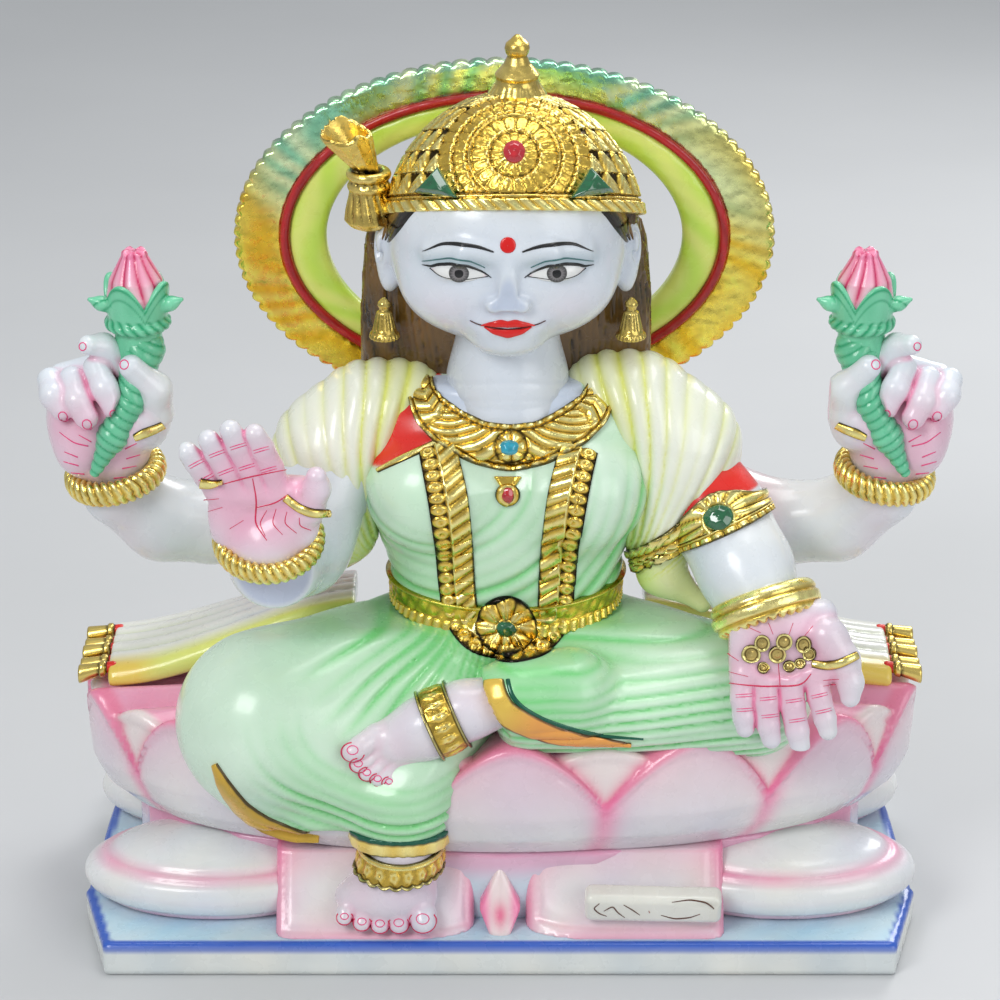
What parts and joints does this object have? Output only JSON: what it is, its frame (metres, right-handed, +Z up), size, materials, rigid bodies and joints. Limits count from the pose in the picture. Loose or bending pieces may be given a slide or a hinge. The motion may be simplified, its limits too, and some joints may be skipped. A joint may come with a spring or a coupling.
{
  "type": "seated goddess statue",
  "caption": "Painted and gilded marble statue of a four-armed goddess seated on a lotus throne, with lotus buds in the rear hands and an oval halo.",
  "frame": {"origin": "under the middle of the plinth, on the surface it stands on", "axes": "+Z up, the figure faces -Y, its own right hands are on -X"},
  "size_m": [0.6094, 0.276, 0.608],
  "materials": {
    "white_marble": "polished",
    "petal_white": "painted gloss",
    "skin": "polished",
    "mint_cloth": "painted satin",
    "white_cloth": "painted satin",
    "gold": "gilded",
    "dark_hair": "painted satin",
    "lime_band": "painted gloss",
    "red_line": "painted gloss",
    "steel_pin": "brushed",
    "bud_pink": "painted gloss",
    "leaf_green": "painted gloss",
    "red_glass": "cut stone",
    "green_glass": "cut stone",
    "blue_glass": "cut stone"
  },
  "bodies": {
    "root": {"belt": "gold", "belt_medallion": "gold", "blue_stone": "blue_glass", "collar_necklace": "gold", "collar_pendant": "gold", "crown": "gold", "crown_finial": "gold", "crown_plume": "gold", "earrings": "gold", "front_left_arm": "skin", "front_left_bangle": "gold", "front_left_hand": "skin", "front_right_arm": "skin", "front_right_bangle": "gold", "front_right_hand": "skin", "green_stones": "green_glass", "hair": "dark_hair", "halo_band": "lime_band", "halo_dowels": "steel_pin", "halo_line": "red_line", "halo_rim": "gold", "head": "skin", "hip_drape": "mint_cloth", "left_anklet": "gold", "left_armlet": "gold", "left_foot": "skin", "left_hem": "gold", "left_leg_drape": "mint_cloth", "left_shawl": "white_cloth", "left_shawl_end": "white_cloth", "left_tassels": "gold", "long_necklace": "gold", "lotus_buds": "bud_pink", "lotus_calyxes": "leaf_green", "lotus_stems": "leaf_green", "lower_broad_petals": "petal_white", "lower_core": "white_marble", "lower_corner_petals": "petal_white", "lower_petal_tips": "petal_white", "neck": "skin", "painted_block": "white_marble", "palm_coins": "gold", "plinth": "white_marble", "rear_left_arm": "skin", "rear_left_bangle": "gold", "rear_left_hand": "skin", "rear_right_arm": "skin", "rear_right_bangle": "gold", "rear_right_hand": "skin", "red_stones": "red_glass", "right_anklet": "gold", "right_foot": "skin", "right_hem": "gold", "right_leg_drape": "mint_cloth", "right_shawl": "white_cloth", "right_shawl_end": "white_cloth", "right_tassels": "gold", "throne_core": "white_marble", "throne_petals": "petal_white", "torso": "mint_cloth"}
  },
  "joints": []
}
